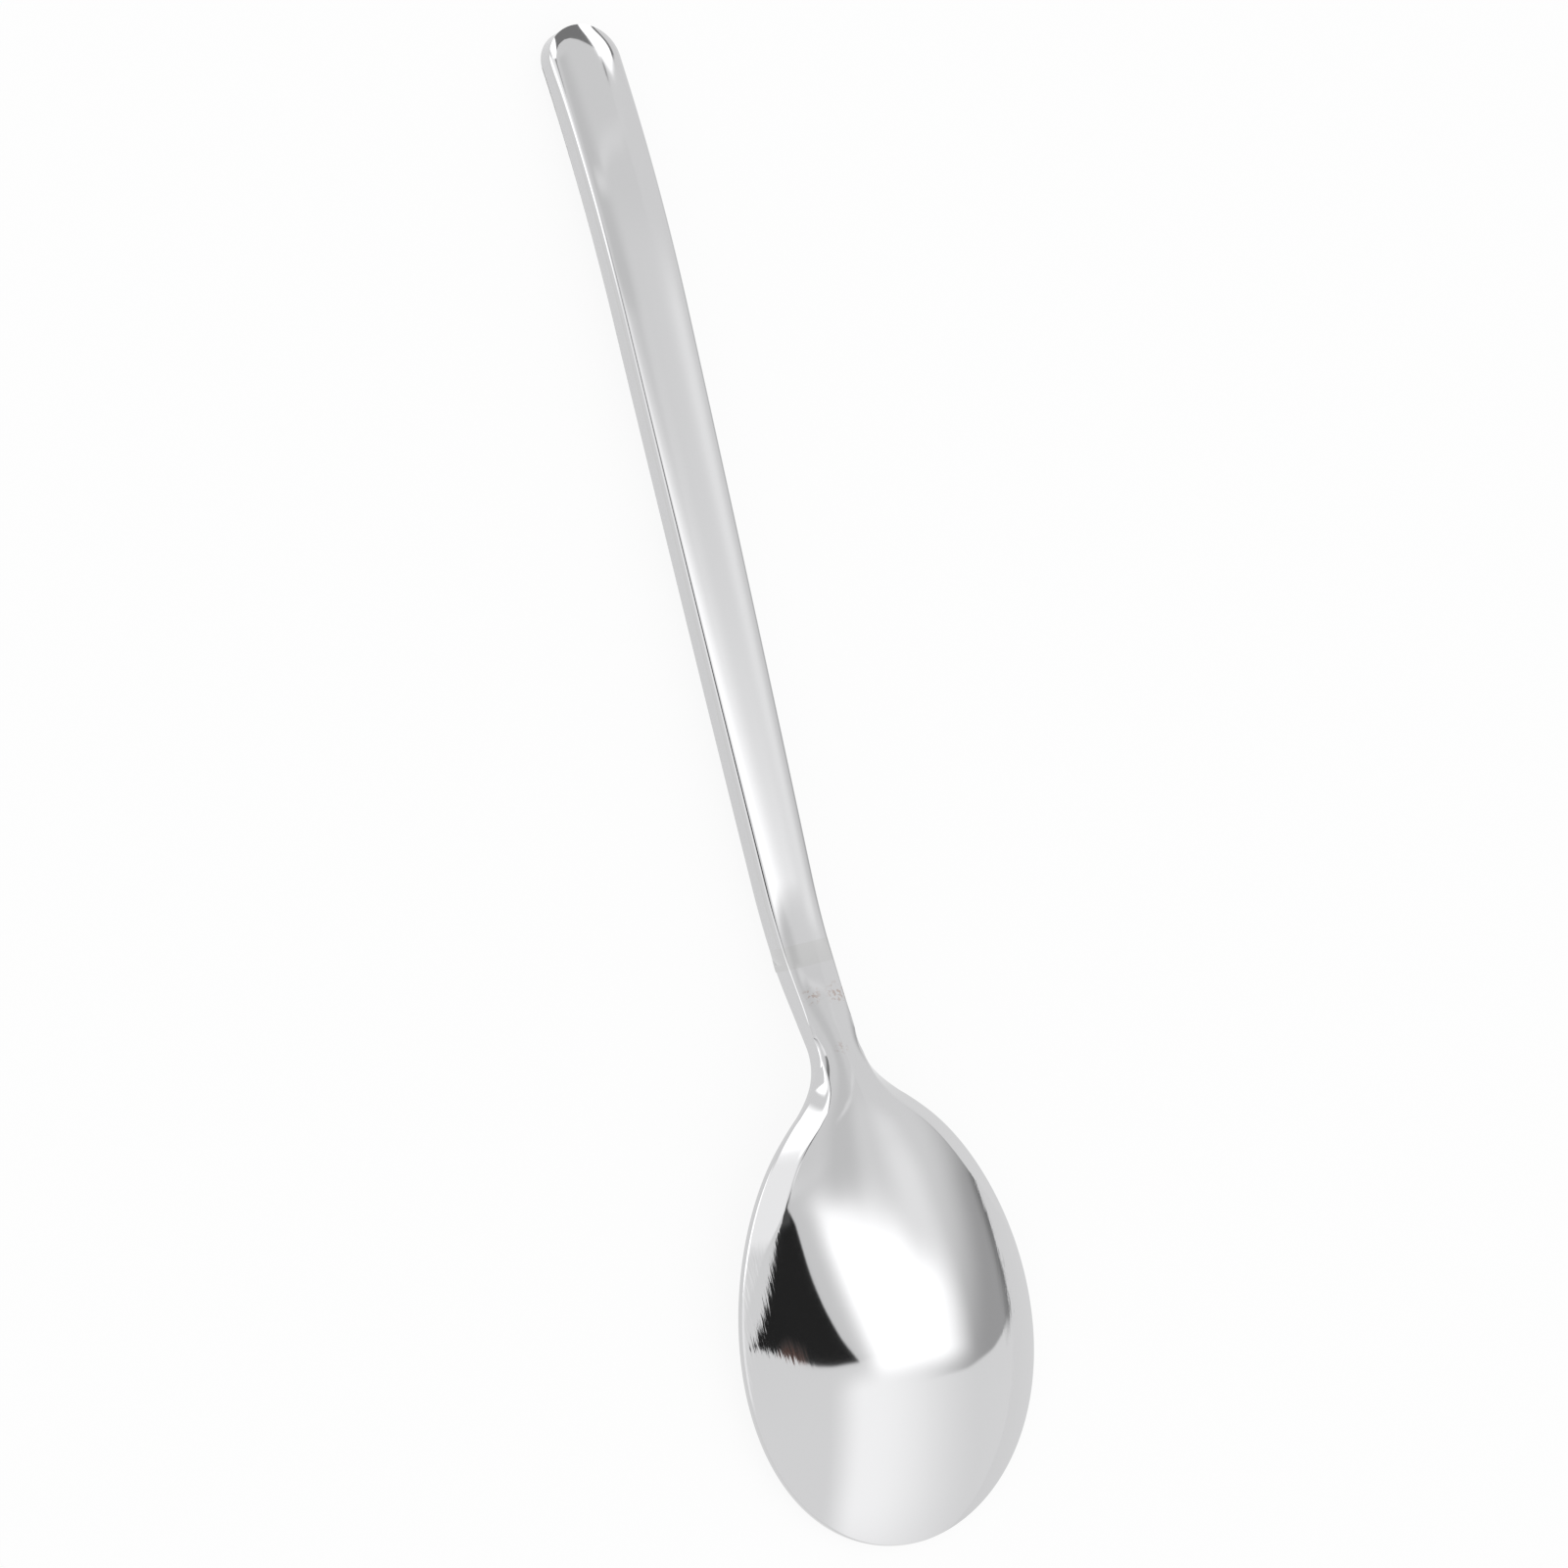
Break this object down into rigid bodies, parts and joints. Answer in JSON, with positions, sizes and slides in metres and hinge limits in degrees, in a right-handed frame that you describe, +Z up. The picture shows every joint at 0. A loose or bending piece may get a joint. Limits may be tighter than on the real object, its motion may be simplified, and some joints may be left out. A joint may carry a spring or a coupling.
{
  "type": "table spoon",
  "caption": "Polished steel table spoon lying on its front, with an egg-shaped bowl, a crisp-edged neck and a hollow handle welded from two pressed shells",
  "frame": {"origin": "on the floor under the middle of the spoon's bounding box", "axes": "+Y points along the handle to its end, the bowl's tip is at -Y, +Z points up out of the spoon's back, X runs across it"},
  "size_m": [0.0434, 0.2052, 0.014],
  "materials": {
    "polished_steel": "polished",
    "ground_weld": "satin"
  },
  "bodies": {
    "root": {"bowl_and_neck": "polished_steel", "handle_front_shell": "polished_steel", "handle_back_shell": "polished_steel", "seam_weld": "ground_weld", "neck_weld": "ground_weld"}
  },
  "joints": []
}
